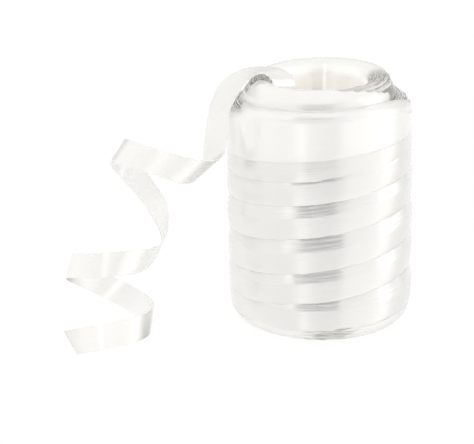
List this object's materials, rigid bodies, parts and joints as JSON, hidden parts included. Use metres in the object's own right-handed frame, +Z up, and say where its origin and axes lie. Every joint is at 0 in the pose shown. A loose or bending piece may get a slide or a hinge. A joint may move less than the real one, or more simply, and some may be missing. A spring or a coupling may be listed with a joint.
{
  "type": "roll of narrow curling ribbon",
  "caption": "Hollow coreless roll of glossy white curling ribbon standing on its end, its loose end drawn from the middle and falling in curls.",
  "frame": {"origin": "middle of the whole object's base, on the surface it stands on", "axes": "+Z up along the roll's axis; +X from the curled loose end towards the roll; +Y away from the side that shows in the picture"},
  "size_m": [0.1198, 0.0729, 0.0899],
  "materials": {
    "ribbon": "glossy satin, faintly see-through white film with fine lengthwise ribs"
  },
  "bodies": {
    "root": {"roll": "ribbon", "loose_end": "ribbon"}
  },
  "joints": []
}
